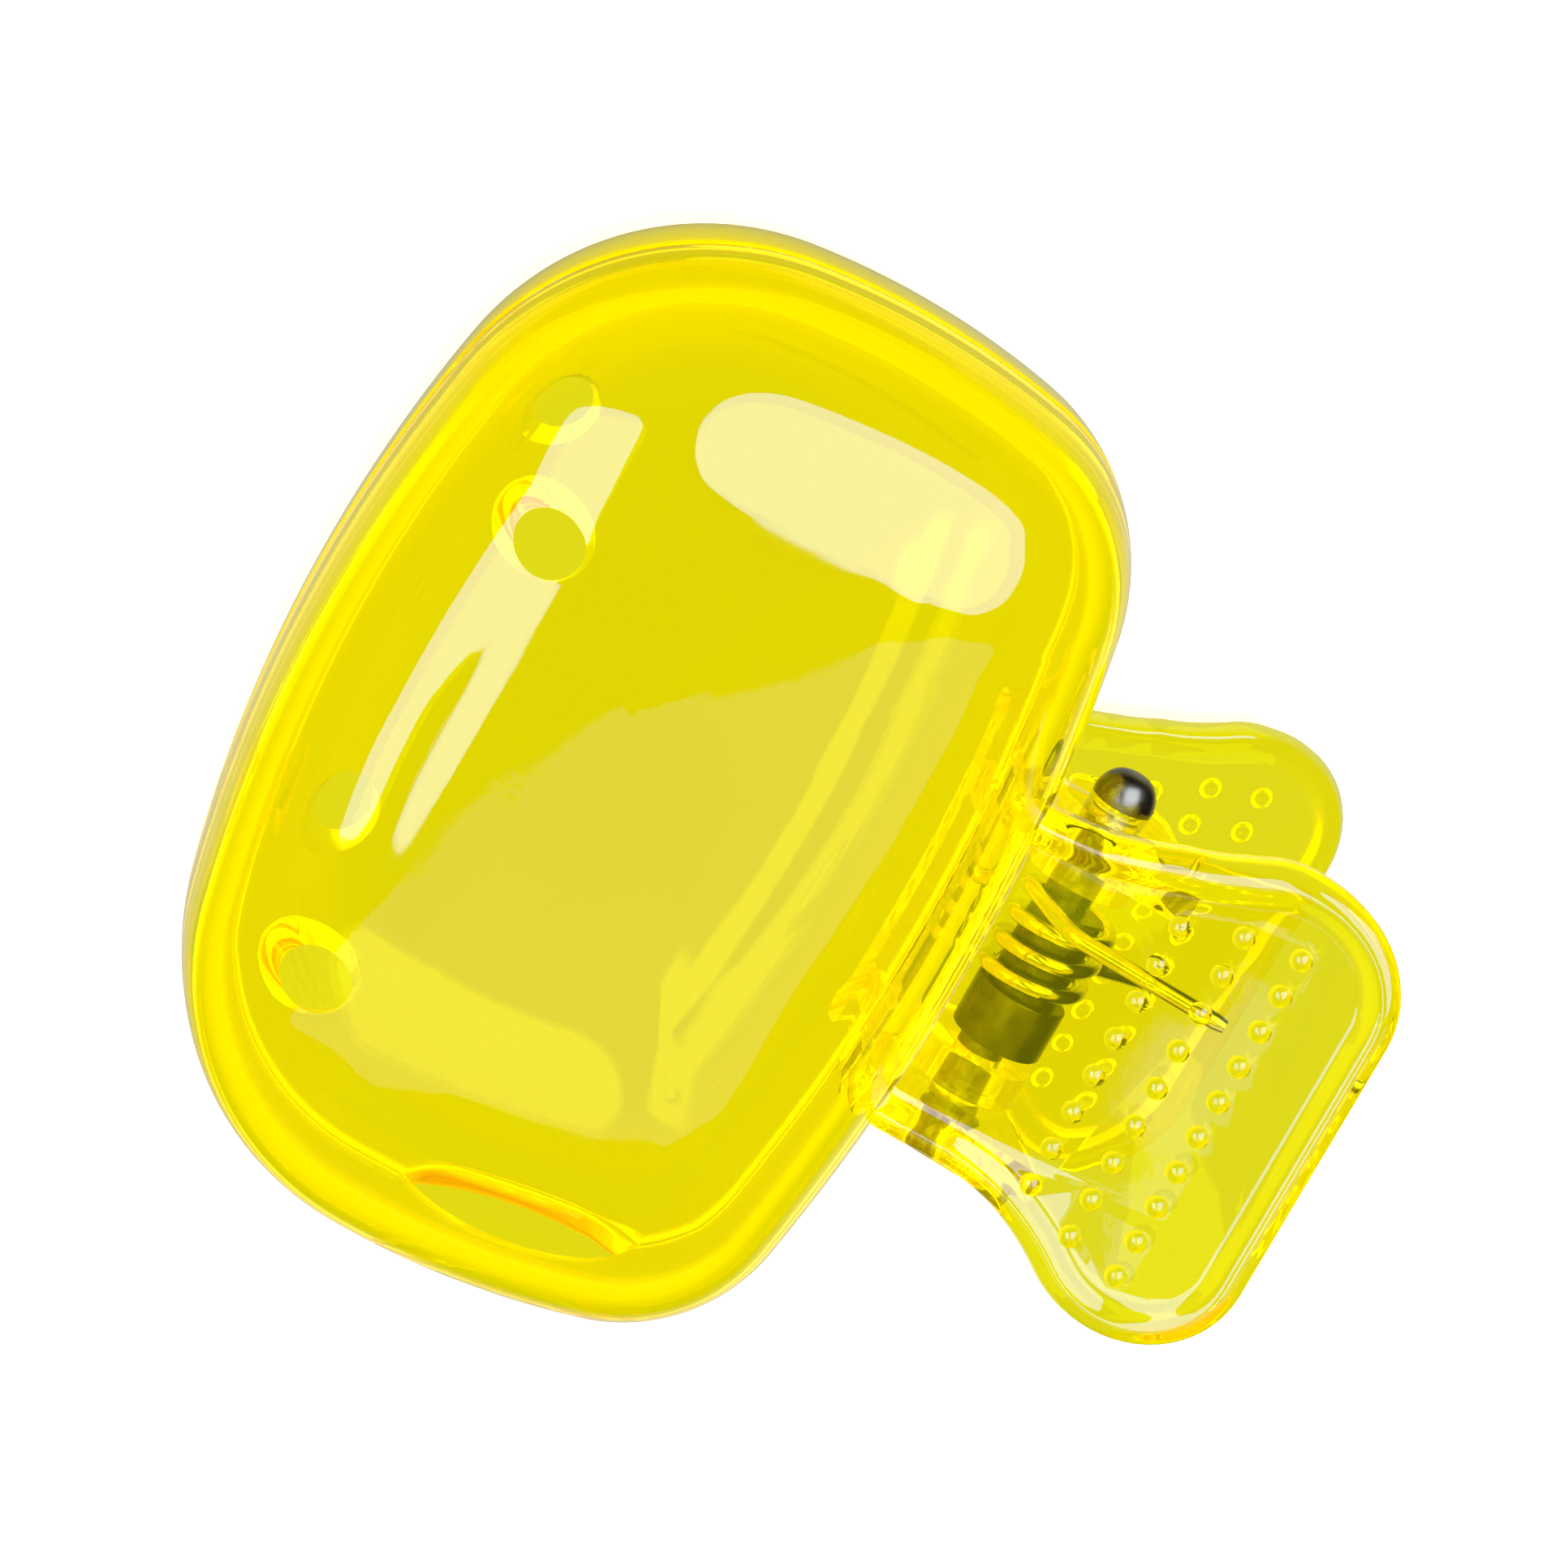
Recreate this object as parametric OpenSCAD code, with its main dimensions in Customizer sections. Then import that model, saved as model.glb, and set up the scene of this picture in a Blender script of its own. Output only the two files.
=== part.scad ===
// Spring clip cover for a brush head: two pillow shaped half shells with finger wings,
// a headed hinge pin, a torsion spring and a sleeve beside it. Millimetres. +X runs from the
// case to the wings, +Y along the pin, +Z from the back face to the front face. The origin is
// the middle of the flat of the back face.

/* [Case] */
// Length of the case, along the pin
case_length = 43.2; // [40:0.1:48]
// Width of the case, from the far edge to the hinge wall
case_width = 30.1; // [28:0.1:34]
// Thickness of the closed case, over both faces
case_thickness = 22; // [20:0.1:25]
// Wall of each shell
wall = 1.5; // [1.1:0.05:1.8]
// Gap left between the two rims when the case is shut
rim_gap = 0.2; // [0.1:0.05:0.4]
// Radius of the bulge of the far long side
far_side_r = 58; // [50:1:80]
// Radius of the bulge of the hinge side
hinge_side_r = 83; // [70:1:120]
// Radius of the bulge of each end
end_r = 33.5; // [31:0.5:45]
// Radius of the two corners away from the hinge
far_corner_r = 12; // [9:0.1:13]
// Radius of the two corners beside the hinge
hinge_corner_r = 7.8; // [7.5:0.1:9]
// Radius of the slight bulge of the side walls, seen from the end
side_bulge_r = 25; // [22:0.5:30]
// Radius of the rounded edge between side wall and face
edge_r = 7.6; // [6.5:0.1:7.8]
// Rise of the crowned face from its border to its middle
crown = 0.55; // [0.4:0.05:0.8]
// Height cut off the crown, which leaves a flat to lie on
crown_flat = 0.1; // [0.05:0.01:0.15]

/* [Vents and notch] */
// Distance from the far edge to the vents
vent_inset = 6.05; // [5.5:0.05:7.5]
// Distance between the two vents of a face
vent_spacing = 19.6; // [16:0.1:22]
// Vent diameter at the outside of the face
vent_outer_d = 2.9; // [2:0.1:3.4]
// Vent diameter at the inside of the wall
vent_inner_d = 4.2; // [3.5:0.1:4.8]
// Distance of the neck notch from the middle of the case, towards the hinge
notch_offset = 4.5; // [0:0.1:5]
// Width of the neck notch at the rim
notch_width = 10; // [8:0.1:11]
// Depth of the neck notch in each shell
notch_depth = 3.3; // [2.5:0.1:4]

/* [Finger wings] */
// Reach of a wing beyond the hinge wall
wing_reach = 14.3; // [13:0.1:16]
// Width across a wing at its widest
wing_width = 20.6; // [19:0.1:22]
// Width of the wing's neck beside each outer ear
neck_margin = 0.1; // [0.05:0.05:0.4]
// Distance of the neck beyond the hinge wall
wing_neck_at = 1.45; // [1:0.05:2.5]
// Radius of the wing tip corners
wing_corner_r = 4.2; // [3.6:0.1:4.6]
// Height of the wing pad above the parting plane, where it leaves the hinge wall
wing_root_height = 5.7; // [5.2:0.1:6.2]
// Splay of a wing away from the parting plane, in degrees
wing_angle = 18; // [14:0.5:19]
// Thickness of a wing
wing_t = 1.4; // [1.1:0.05:1.7]
// Height of the rounded border round the finger pad
border_h = 0.45; // [0.2:0.05:0.6]
// Width of that border
border_w = 1.7; // [1.2:0.1:1.9]

/* [Grip dots] */
// Diameter of a grip dot
dot_d = 0.95; // [0.7:0.05:1.1]
// Height of a grip dot above the pad
dot_h = 0.3; // [0.2:0.05:0.4]
// Number of dots in each row, outer row first
dot_counts = [10, 9, 8];
// Length of each row between its end dots
dot_spans = [14.9, 14.1, 12.1];
// Distance of the outer row from the wing tip
dot_tip_inset = 4.4; // [4:0.1:5]
// Distance between rows
dot_row_pitch = 2.23; // [2:0.01:2.4]

/* [Hinge] */
// Distance of the pin axis beyond the hinge wall
pin_out = 2.65; // [2.6:0.05:3]
// Diameter of the pin
pin_d = 2; // [1.6:0.1:2.2]
// Play on the diameter where the pin turns in the inner ears
turning_play = 0.1; // [0.04:0.02:0.16]
// Play on the diameter where the pin is held in the outer ears and in the sleeve
held_play = 0.04; // [0.02:0.02:0.1]
// Radius of the round end of each ear
ear_r = 2.3; // [1.9:0.05:2.35]
// Thickness of each ear
ear_t = 1.55; // [1.2:0.05:1.6]
// Side play between an inner ear and an outer ear
ear_play = 0.15; // [0.1:0.05:0.25]
// Where the free edge of an ear meets the wing, beyond the hinge wall
ear_reach = 7.2; // [6:0.1:8.5]
// Diameter of the pin head
pin_head_d = 2.7; // [2.5:0.1:3.2]
// Height of the domed pin head
pin_head_h = 1.15; // [0.8:0.05:1.3]
// Length of the pin that stands out past the last ear
pin_tail = 1.6; // [1.2:0.1:2]
// Diameter of the peened end of the pin
pin_peen_d = 2.5; // [2.4:0.1:2.8]
// Length of the peened end
pin_peen_l = 0.7; // [0.5:0.1:0.9]

/* [Torsion spring] */
// Wire diameter
wire_d = 0.7; // [0.55:0.05:0.75]
// Mean diameter of the coil
coil_d = 3.5; // [3.3:0.1:3.8]
// Distance from turn to turn
coil_pitch = 1.23; // [1.15:0.01:1.3]
// Number of whole turns
coil_turns = 3; // [3:1:4]
// Side play between the inner ears and what the pin carries, on each side
coil_play = 0.65; // [0.3:0.05:0.7]
// Gap between a leg and the underside of its wing
leg_gap = 0.1; // [0.05:0.05:0.3]
// Reach of the legs beyond the hinge wall
leg_reach = 9.2; // [8:0.1:10.5]
// Radius of the bend in a leg, on the wire's middle
leg_bend_r = 1.1; // [0.9:0.1:1.4]
// How far round from the top of the coil a leg leaves it, in degrees
leg_leave = 70; // [55:1:75]

/* [Sleeve] */
// Length of the sleeve on the pin, beside the coil
sleeve_l = 2.4; // [1.6:0.1:2.6]
// Outer diameter of the sleeve
sleeve_d = 3.9; // [3.2:0.1:4.2]
// Gap between the sleeve and the coil
sleeve_gap = 0.1; // [0.05:0.05:0.3]

/* [Hidden] */

$fn = 144;
overlap = 0.1;
beyond = 5;
side_steps = 4;
corner_steps = 9;
end_steps = 8;
bulge_steps = 2;
edge_steps = 8;
crown_steps = 4;
plastic = [0.93, 0.85, 0.05, 0.75];
steel = [0.32, 0.30, 0.30];
spring_steel = [0.45, 0.44, 0.42];

half_l = case_length / 2;
half_w = case_width / 2;
half_t = case_thickness / 2;

// Steepness where the rounded edge runs out into the crown, in degrees from the vertical.
edge_end_a = 84;
crown_top = half_t + crown_flat;
bulge_end_a = asin((crown_top - crown - edge_r * sin(edge_end_a)) / (side_bulge_r - edge_r));
edge_c = [side_bulge_r - (side_bulge_r - edge_r) * cos(bulge_end_a), (side_bulge_r - edge_r) * sin(bulge_end_a)];
edge_run = edge_c.x - edge_r * cos(edge_end_a);

// Centres of the arcs of the case's outline.
far_side_c = [far_side_r - half_w, 0];
hinge_side_c = [half_w - hinge_side_r, 0];
end_c = [0, half_l - end_r];
far_corner_c = meet(far_side_c, far_side_r - far_corner_r, end_c, end_r - far_corner_r, 1);
hinge_corner_c = meet(end_c, end_r - hinge_corner_r, hinge_side_c, hinge_side_r - hinge_corner_r, 1);

// Directions of the four points where one arc runs into the next.
far_side_a = direction(far_side_c, far_corner_c);
end_far_a = direction(end_c, far_corner_c);
end_hinge_a = direction(end_c, hinge_corner_c);
hinge_side_a = direction(hinge_side_c, hinge_corner_c);

pin_x = half_w + pin_out;
leave_a = 90 + leg_leave;
sweep_a = coil_turns * 360 + 360 - 2 * leave_a;
coil_length = coil_pitch * sweep_a / 360;
inner_ear_y = (coil_length + wire_d + sleeve_gap + sleeve_l) / 2 + coil_play;
outer_ear_y = inner_ear_y + ear_t + ear_play;
outer_ear_end = outer_ear_y + ear_t;

wing_tip_x = half_w + wing_reach;
wing_neck_x = half_w + wing_neck_at;
wing_corner_x = wing_tip_x - wing_corner_r;
wing_corner_y = wing_width / 2 - wing_corner_r;
neck_half = outer_ear_end + neck_margin;
neck_rise = neck_half - wing_corner_y;
neck_run = wing_corner_x - wing_neck_x;
neck_r = (pow(neck_run, 2) + pow(neck_rise, 2) - pow(wing_corner_r, 2)) / 2 / (wing_corner_r - neck_rise);
wing_drop = wing_t / cos(wing_angle);

coil_r = coil_d / 2;
wire_r = wire_d / 2;
coil_high_y = inner_ear_y - coil_play - wire_r;
coil_low_y = coil_high_y - coil_length;
notch_r = (pow(notch_width / 2, 2) + pow(notch_depth, 2)) / 2 / notch_depth;

// Direction from one point of the plan to another, in degrees.
function direction(from, to) = atan2(to.y - from.y, to.x - from.x);

// Point where two circles cross, on the chosen side of the line between their centres.
function meet(c1, r1, c2, r2, side) =
    let (gap = norm(c2 - c1), u = (c2 - c1) / gap)
    let (along = (r1 * r1 - r2 * r2 + gap * gap) / 2 / gap)
    let (across = sqrt(r1 * r1 - along * along))
    c1 + along * u + side * across * [u.y, -u.x];

// Height of the wing pad above the parting plane.
function pad_z(x) = wing_root_height + (x - half_w) * tan(wing_angle);

// Height of the underside of the wing above the parting plane.
function under_z(x) = pad_z(x) - wing_drop;

// Points of an arc, drawn in by inset, without its last point.
function arc(c, r, a1, a2, inset, steps) =
    [for (i = [0 : steps - 1]) let (a = a1 + (a2 - a1) * i / steps) c + (r - inset) * [cos(a), sin(a)]];

// A list of points of the plan turned into its mirror image, in the same sense of rotation.
function mirrored(line) = [for (i = [len(line) - 1 : -1 : 0]) [line[i].x, -line[i].y]];

// The case's outline from the middle of the hinge side round to it again, drawn in by inset.
function case_outline(inset) =
    let (far_half = concat(
        arc(hinge_side_c, hinge_side_r, 0, hinge_side_a, inset, side_steps),
        arc(hinge_corner_c, hinge_corner_r, hinge_side_a, end_hinge_a, inset, corner_steps),
        arc(end_c, end_r, end_hinge_a, end_far_a, inset, end_steps),
        arc(far_corner_c, far_corner_r, end_far_a, far_side_a, inset, corner_steps),
        arc(far_side_c, far_side_r, far_side_a, 180, inset, side_steps)))
    concat(far_half, [[inset - half_w, 0]], mirrored([for (i = [1 : len(far_half) - 1]) far_half[i]]));

// Section of the edge from the rim to the crown, drawn in by inset: distance from the outline and height.
function edge_section(inset) = concat(
    [for (i = [0 : bulge_steps - 1])
        let (a = bulge_end_a * i / bulge_steps)
        [side_bulge_r - (side_bulge_r - inset) * cos(a), (side_bulge_r - inset) * sin(a)]],
    [for (i = [0 : edge_steps])
        let (a = bulge_end_a + (edge_end_a - bulge_end_a) * i / edge_steps)
        [edge_c.x - (edge_r - inset) * cos(a), edge_c.y + (edge_r - inset) * sin(a)]]);

// Half of the pillow shaped case, above the parting plane, drawn in by inset.
module half_pillow(inset, floor_z) {
    section = edge_section(inset);
    border = section[len(section) - 1];
    top = crown_top - inset;
    rings = concat(
        [for (s = section) [for (p = case_outline(s.x)) [p.x, p.y, max(s.y, floor_z)]]],
        [for (k = [crown_steps - 1 : -1 : 1])
            let (share = k / crown_steps)
            [for (p = case_outline(border.x))
                [p.x * share, p.y * share, top - (top - border.y) * share * share]]]);
    count = len(rings[0]);
    last = (len(rings) - 1) * count;
    points = concat([for (ring = rings) for (p = ring) p], [[0, 0, floor_z], [0, 0, top]]);
    middle = len(points) - 2;
    apex = len(points) - 1;
    polyhedron(points, concat(
        [for (k = [0 : count - 1]) [middle, k, (k + 1) % count]],
        [for (j = [0 : len(rings) - 2]) for (k = [0 : count - 1])
            let (a = j * count + k, b = j * count + (k + 1) % count)
            for (f = [[a, b + count, b], [a, a + count, b + count]]) f],
        [for (k = [0 : count - 1]) [apex, last + (k + 1) % count, last + k]]));
}

// The wing's outline, drawn in by inset.
module wing_outline(inset) {
    neck_c = [wing_neck_x, neck_half + neck_r];
    corner_c = [wing_corner_x, wing_corner_y];
    blend_a = direction(neck_c, corner_c);
    root = [half_w - edge_run, neck_half - inset];
    upper = concat(
        arc(corner_c, wing_corner_r, 0, blend_a + 180, inset, corner_steps),
        arc(neck_c, neck_r, blend_a, -90, -inset, corner_steps),
        [[wing_neck_x, root.y], root]);
    polygon(concat(upper, mirrored(upper)));
}

// A slab that follows the wing's splay, between two heights measured from the pad.
module wing_slab(low, high) {
    x1 = half_w - edge_run;
    x2 = wing_tip_x + overlap;
    rotate([90, 0, 0]) linear_extrude(wing_width + beyond, center = true)
        polygon([[x1, pad_z(x1) + low], [x2, pad_z(x2) + low], [x2, pad_z(x2) + high], [x1, pad_z(x1) + high]]);
}

// The finger wing with its raised border and its rows of grip dots.
module wing() {
    difference() {
        intersection() {
            linear_extrude(case_thickness) wing_outline(0);
            wing_slab(-wing_drop, border_h);
        }
        intersection() {
            linear_extrude(case_thickness) wing_outline(border_w);
            wing_slab(0, beyond);
        }
    }
    grip_dots();
}

// Rows of low round dots on the finger pad.
module grip_dots() {
    ball_r = (pow(dot_d / 2, 2) + pow(dot_h, 2)) / 2 / dot_h;
    for (row = [0 : len(dot_counts) - 1]) {
        x = wing_tip_x - dot_tip_inset - row * dot_row_pitch;
        for (i = [0 : dot_counts[row] - 1]) {
            y = dot_spans[row] * (i / (dot_counts[row] - 1) - 1 / 2);
            translate([x, y, pad_z(x) + dot_h - ball_r]) sphere(ball_r, $fn = 32);
        }
    }
}

// Side view of an ear: the round end on the pin, and the web up to the wing.
module ear_side() {
    foot = [half_w + ear_reach, under_z(half_w + ear_reach) + wing_drop / 2];
    away = norm([foot.x - pin_x, foot.y]);
    touch_a = atan2(foot.y, foot.x - pin_x) - acos(ear_r / away);
    root_x = half_w - edge_run;
    translate([pin_x, 0]) circle(ear_r);
    polygon([[root_x, rim_gap / 2], [pin_x, rim_gap / 2], [pin_x, 0],
        [pin_x + ear_r * cos(touch_a), ear_r * sin(touch_a)], foot, [root_x, pad_z(root_x)]]);
}

// A pair of ears, with the inner face of each at the distance y from the middle.
module ears(y) {
    for (side = [0, 1]) mirror([0, side, 0])
        translate([0, y + ear_t, 0]) rotate([90, 0, 0]) linear_extrude(ear_t) ear_side();
}

// The two vents through a face, wider towards the inside.
module vents() {
    taper = (vent_inner_d - vent_outer_d) / 2 / wall;
    for (side = [-1, 1])
        translate([vent_inset - half_w, side * vent_spacing / 2, half_t - beyond])
            cylinder(h = beyond, r1 = vent_inner_d / 2 + taper * (beyond - wall) / 4, r2 = vent_outer_d / 2);
}

// Half of the opening for the neck of the brush, in the end wall.
module notch() {
    translate([notch_offset, -half_l / 2, notch_depth - notch_r]) rotate([90, 0, 0])
        cylinder(h = half_l, r = notch_r);
}

// One shell, with its parting plane at z = 0 and its face towards +Z.
module shell(ear_y, bore_d) {
    difference() {
        union() {
            half_pillow(0, rim_gap / 2);
            wing();
            ears(ear_y);
        }
        half_pillow(wall, 0);
        translate([-half_w, -half_l, half_t]) cube([case_width, case_length, beyond]);
        vents();
        notch();
        translate([pin_x, outer_ear_end + overlap, 0]) rotate([90, 0, 0])
            cylinder(h = 2 * (outer_ear_end + overlap), d = bore_d);
    }
}

module front_shell() {
    color(plastic) translate([0, 0, half_t]) shell(outer_ear_y, pin_d + held_play);
}

module rear_shell() {
    color(plastic) translate([0, 0, half_t]) mirror([0, 0, 1]) shell(inner_ear_y, pin_d + turning_play);
}

// The pin, with a domed head on the +Y side and a peened end.
module hinge_pin() {
    dome_r = (pow(pin_head_d / 2, 2) + pow(pin_head_h, 2)) / 2 / pin_head_h;
    tail_y = outer_ear_end + pin_tail;
    color(steel) translate([pin_x, 0, half_t]) rotate([-90, 0, 0]) {
        translate([0, 0, -tail_y]) cylinder(h = tail_y + outer_ear_end + overlap, d = pin_d);
        translate([0, 0, outer_ear_end]) intersection() {
            translate([0, 0, pin_head_h - dome_r]) sphere(dome_r);
            cylinder(h = pin_head_h, d = pin_head_d);
        }
        translate([0, 0, -tail_y]) cylinder(h = pin_peen_l, d1 = pin_peen_d, d2 = pin_d);
    }
}

// Middle line of the spring's wire, in x, y and height above the parting plane. The coil
// starts and ends behind the pin, so that squeezing the wings winds it tighter.
rings_per_turn = 8;
coil_steps = ceil(rings_per_turn * sweep_a / 360);

// Where a straight leg from the coil meets the line that it then follows under its wing.
leave_p = [pin_x + coil_r * cos(leave_a), coil_r * sin(leave_a)];
leave_d = [sin(leave_a), -cos(leave_a)];
leg_d = [cos(wing_angle), sin(wing_angle)];
leg_rise = leave_p.y - under_z(leave_p.x) + (wire_r + leg_gap) / cos(wing_angle);
leg_run = leg_rise / (leave_d.x * tan(wing_angle) - leave_d.y);
bend_turn = leg_leave - wing_angle;
bend_cut = leg_bend_r * tan(bend_turn / 2);
knee = leave_p + leg_run * leave_d;
bend_steps = 4;
leg_end_x = half_w + leg_reach;
leg_end = knee + (leg_end_x - knee.x) / leg_d.x * leg_d;
bend_c = knee - bend_cut * leave_d + leg_bend_r * [leave_d.y, -leave_d.x];

// One leg in its own plane, from the coil to its tip, for the +Y end of the coil.
leg_line = concat(
    [leave_p + wire_d * leave_d],
    [for (i = [0 : bend_steps])
        let (a = leave_a - bend_turn * i / bend_steps)
        bend_c + leg_bend_r * [cos(a), sin(a)]],
    [leg_end - wire_d * leg_d, leg_end]);

coil_line = [for (i = [0 : coil_steps])
    let (share = i / coil_steps, a = -leave_a - sweep_a * share)
    [pin_x + coil_r * cos(a), coil_low_y + coil_length * share, coil_r * sin(a)]];

last_leg = len(leg_line) - 1;
wire_line = concat(
    [for (i = [last_leg : -1 : 0]) [leg_line[i].x, coil_low_y, -leg_line[i].y]],
    coil_line,
    [for (p = leg_line) [p.x, coil_high_y, p.y]]);

function unit(v) = v / norm(v);
function heading(line, i) = unit(line[min(i + 1, len(line) - 1)] - line[max(i - 1, 0)]);

// Least gap between parts of the wire that are half a turn or more apart along it.
wire_count = len(wire_line);
wire_at = [for (i = 0, at = 0; i < wire_count;
    at = at + (i + 1 < wire_count ? norm(wire_line[i + 1] - wire_line[i]) : 0), i = i + 1) at];
wire_gap = min([for (i = [0 : wire_count - 1]) for (j = [i : wire_count - 1])
    if (wire_at[j] - wire_at[i] >= PI * coil_r) norm(wire_line[i] - wire_line[j])]) - wire_d;
echo(least_gap_of_spring_to_itself_mm = wire_gap);

// A tube round a line that nowhere runs along Y.
module wire_tube(line, r, sides) {
    count = len(line);
    points = [for (i = [0 : count - 1])
        let (t = heading(line, i), e1 = unit(cross(t, [0, 1, 0])), e2 = cross(t, e1))
        for (k = [0 : sides - 1]) line[i] + r * (cos(360 * k / sides) * e1 + sin(360 * k / sides) * e2)];
    walls = [for (i = [0 : count - 2]) for (k = [0 : sides - 1])
        let (a = i * sides + k, b = i * sides + (k + 1) % sides)
        for (f = [[a, b, b + sides], [a, b + sides, a + sides]]) f];
    start_cap = [for (k = [1 : sides - 2]) [0, k + 1, k]];
    last = (count - 1) * sides;
    end_cap = [for (k = [1 : sides - 2]) [last, last + k, last + k + 1]];
    polyhedron(points, concat(walls, start_cap, end_cap));
}

module torsion_spring() {
    color(spring_steel) translate([0, 0, half_t]) wire_tube(wire_line, wire_r, 6);
}

// The plain round sleeve that fills the pin beside the coil.
module spring_sleeve() {
    color(steel) translate([pin_x, coil_low_y - wire_r - sleeve_gap, half_t]) rotate([90, 0, 0]) difference() {
        cylinder(h = sleeve_l, d = sleeve_d);
        translate([0, 0, -overlap]) cylinder(h = sleeve_l + 2 * overlap, d = pin_d + held_play);
    }
}

front_shell();
rear_shell();
hinge_pin();
torsion_spring();
spring_sleeve();
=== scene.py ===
import math

import bmesh
import bpy
import numpy as np
from mathutils import Matrix, Vector
from mathutils.geometry import tessellate_polygon


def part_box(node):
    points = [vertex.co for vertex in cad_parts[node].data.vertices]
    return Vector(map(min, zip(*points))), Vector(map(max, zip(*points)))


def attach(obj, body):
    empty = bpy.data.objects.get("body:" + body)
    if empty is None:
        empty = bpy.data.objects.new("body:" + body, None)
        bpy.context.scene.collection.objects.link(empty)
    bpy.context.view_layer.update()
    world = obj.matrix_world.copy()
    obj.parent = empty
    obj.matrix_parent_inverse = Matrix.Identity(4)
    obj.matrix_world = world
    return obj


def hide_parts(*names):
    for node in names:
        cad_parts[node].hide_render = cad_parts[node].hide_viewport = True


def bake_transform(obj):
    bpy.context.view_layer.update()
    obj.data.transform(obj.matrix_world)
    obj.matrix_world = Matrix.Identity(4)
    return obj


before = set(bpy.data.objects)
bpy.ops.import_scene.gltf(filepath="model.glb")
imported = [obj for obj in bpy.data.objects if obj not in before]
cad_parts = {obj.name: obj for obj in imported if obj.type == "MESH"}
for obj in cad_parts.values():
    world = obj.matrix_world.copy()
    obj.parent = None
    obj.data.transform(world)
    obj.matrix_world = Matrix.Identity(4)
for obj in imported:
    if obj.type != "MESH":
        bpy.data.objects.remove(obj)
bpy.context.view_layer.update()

MM = 0.001

# Sizes that the frame gives, in millimetres. Shapes are drawn with the parting plane at z = 0.
front_low, front_high = [np.array(corner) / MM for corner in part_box("front_shell")]
pin_low, pin_high = [np.array(corner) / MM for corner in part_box("hinge_pin")]
HALF_W = -front_low[0]
WING_TIP_X = front_high[0]
HALF_L = front_high[1]
HALF_T = front_high[2] / 2
PIN_X = (pin_low[0] + pin_high[0]) / 2

# The case's outline and section.
FAR_SIDE_R, HINGE_SIDE_R, END_R = 58.0, 83.0, 33.5
FAR_CORNER_R, HINGE_CORNER_R = 12.0, 7.8
SOFTEST_CORNER = 3.2
SIDE_BULGE_R, EDGE_R = 25.0, 7.6
EDGE_END = math.radians(84)
BORDER_DROP = 0.55
CROWN_FLAT = 0.1
# The crown's rings, as shares of its border, and the steepest that it leaves its border.
CROWN_SHARES = (0.04, 0.1, 0.18, 0.27, 0.36, 0.45, 0.54, 0.63, 0.72, 0.8, 0.87, 0.93, 0.97)
CROWN_STEEPEST = 3.0
WALL = 1.5
RIM_Z = 0.1
RIM_OUT, RIM_IN = 0.28, 0.5
# Steps along half the outline: hinge side, its corner, end wall, far corner, far side.
RING_STEPS = (16, 24, 26, 26, 22)

# Vents and notch. A cutter reaches past the wall that it cuts.
CUT_PAST = 2.0
VENT_INSET, VENT_Y, VENT_FACE_Z = 6.05, 9.8, 10.37
VENT_X = VENT_INSET - HALF_W
VENT_OUTER_R, VENT_INNER_R, VENT_REACH = 1.28, 1.75, 0.9
FRONT_VENT_SHIFT, REAR_VENT_SHIFT = (0.45, -0.4), (0.0, 0.0)
NOTCH_X, NOTCH_DEPTH, NOTCH_R, NOTCH_EDGE = 4.5, 3.3, 5.44, 0.4
NOTCH_PAST, NOTCH_FLARE, NOTCH_ENDS = 2.5, 2.2, (-3.0, 5.0)

# Wings, ears and dots.
WING_ANGLE = math.radians(18)
WING_ROOT_HEIGHT, WING_T = 5.7, 1.4
WING_CORNER_R, WING_HALF = 4.5, 10.3
WING_WAIST, WING_UNDER_R = -0.45, 0.35
NECK_X, NECK_HALF = HALF_W + 1.45, 7.514
ROOT_X, ROOT_RUN = HALF_W - 1.4, 0.8
BORDER_H, BORDER_W, BORDER_CREST = 0.45, 1.75, 0.8
DOT_R, DOT_H = 0.475, 0.36
# The wings sit a little to one side, as in the photo.
FRONT_WING_SHIFT, REAR_WING_SHIFT, SHIFT_RUN = (0, 0.3), (-0.45, 0.5), 5.0
FRONT_DOT_SHIFT, REAR_DOT_SHIFT = (0, 0), (-0.5, 0.5)
# How much wider each neck is on its +Y side, by distance along X. It grows over ROOM_RUN from the middle.
ROOM_RUN = 5.0
FRONT_NECK_ROOM = [(15.8, 0.0), (17.6, 0.35), (19.3, 0.6), (21.5, 0.55), (24.5, 0.1), (26.0, 0.0)]
REAR_NECK_ROOM = [(15.8, 1.1), (17.3, 1.2), (19.3, 1.1), (21.2, 0.8), (24.0, 0.15), (26.0, 0.0)]
DOT_ROWS = [(WING_TIP_X - 4.4, 14.9, 10), (WING_TIP_X - 6.63, 14.1, 9), (WING_TIP_X - 8.86, 12.1, 8)]
EAR_R, EAR_T, EAR_FOOT_X = 2.3, 1.55, HALF_W + 6.0
EAR_SUNK, EAR_UNDER, EAR_TOE = 0.05, 0.1, (-0.5, 0.45)
INNER_EAR_Y, OUTER_EAR_Y = 4.164, 5.864
EAR_BEVEL = 0.14

# Pin and spring.
PIN_R, HEAD_R, HEAD_H, PEEN_R, PEEN_L = 1.0, 1.32, 1.4, 1.25, 0.7
BORE_HALF, BORE_PLAY, SLEEVE_PLAY = 9.5, 0.03, 0.02
# How full the head's dome is: below 1 is fuller than a ball.
HEAD_FULL = 0.7
# The peened end: distance from the tip, and radius as a share of PEEN_R. Then it narrows to the pin.
PEEN_SHAPE = [(0, 0.6), (0.06, 0.9), (0.2, 1), (0.4, 0.97)]
PEEN_FOOT, PEEN_RUN = 1.01, 0.1
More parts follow.
